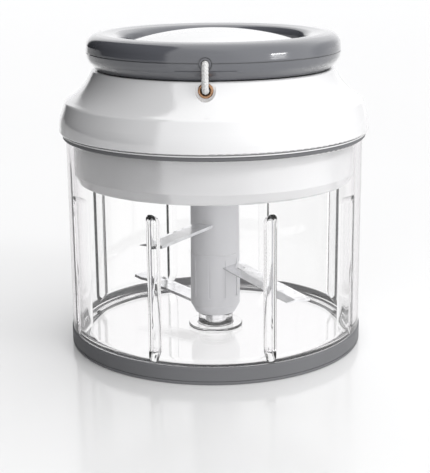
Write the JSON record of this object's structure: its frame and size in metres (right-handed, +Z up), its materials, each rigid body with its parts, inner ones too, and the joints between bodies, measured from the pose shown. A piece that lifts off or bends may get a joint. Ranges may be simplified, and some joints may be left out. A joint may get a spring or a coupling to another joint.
{
  "type": "manual food processor",
  "caption": "Hand-operated food processor: clear ribbed bowl on a grey rubber ring, white domed lid with a grey ring pull handle on a cord, and a steel-bladed centre column.",
  "frame": {"origin": "on the table at the centre of the base", "axes": "+Z up through the blade column and the dome, -Y towards the cord and its eyelet"},
  "size_m": [0.1276, 0.1276, 0.1304],
  "materials": {
    "clear_plastic": "clear moulded plastic",
    "grey_rubber": "matte grey rubber",
    "white_gloss": "glossy white plastic",
    "white_satin": "satin white plastic",
    "grey_gloss": "glossy grey plastic",
    "grey_inner_plastic": "matte grey plastic",
    "polished_steel": "polished stainless steel",
    "eyelet_brass": "polished brass",
    "white_cord": "twisted white cord"
  },
  "bodies": {
    "base": {"bowl": "clear_plastic", "base_ring": "grey_rubber", "spindle_pin": "polished_steel"},
    "lid": {"lid_shell": "white_gloss", "lid_base": "white_gloss", "lid_seal": "grey_rubber", "hub_seal": "grey_rubber", "thrust_washer": "grey_inner_plastic", "lid_screws": "polished_steel", "cord_eyelet": "eyelet_brass", "eyelet_clip": "eyelet_brass", "cord_lead": "white_cord", "spool_axle": "polished_steel", "spring_case": "grey_inner_plastic", "recoil_spring": "polished_steel"},
    "winder": {"spool": "grey_inner_plastic", "drive_hub": "grey_inner_plastic", "cord_on_spool": "white_cord"},
    "handle": {"handle_bottom": "grey_gloss", "handle_top": "grey_gloss", "handle_collar": "grey_gloss", "handle_screws": "polished_steel", "pull_cord": "white_cord", "cord_knot": "white_cord"},
    "blades": {"column_lower": "white_satin", "column_upper": "white_satin", "pin_bush": "grey_inner_plastic", "upper_blade": "polished_steel", "middle_blade": "polished_steel", "lower_blade": "polished_steel"}
  },
  "joints": [
    {"name": "lid_lift", "type": "slide", "parent": "base", "child": "lid", "axis": [0, 0, 1], "range_m": [0, 0.1]},
    {"name": "handle_pull", "type": "slide", "parent": "lid", "child": "handle", "axis": [0, 0, 1], "range_m": [0, 0.4], "stiffness_N_per_m": 15, "springref_m": -0.3, "deforming": ["pull_cord"]},
    {"name": "spool_spin", "type": "hinge", "parent": "lid", "child": "winder", "pos_m": [0, 0, 0.1119], "axis": [0, 0, 1], "range_deg": [-1320, 0], "deforming": ["cord_on_spool", "recoil_spring"]},
    {"name": "blade_spin", "type": "hinge", "parent": "base", "child": "blades", "pos_m": [0, 0, 0.0108], "axis": [0, 0, 1], "range_deg": [-1320, 0]}
  ],
  "couplings": [
    {"joint": "spool_spin", "follows": "handle_pull", "rad_per_m": -57.5},
    {"joint": "blade_spin", "follows": "handle_pull", "rad_per_m": -57.5}
  ]
}
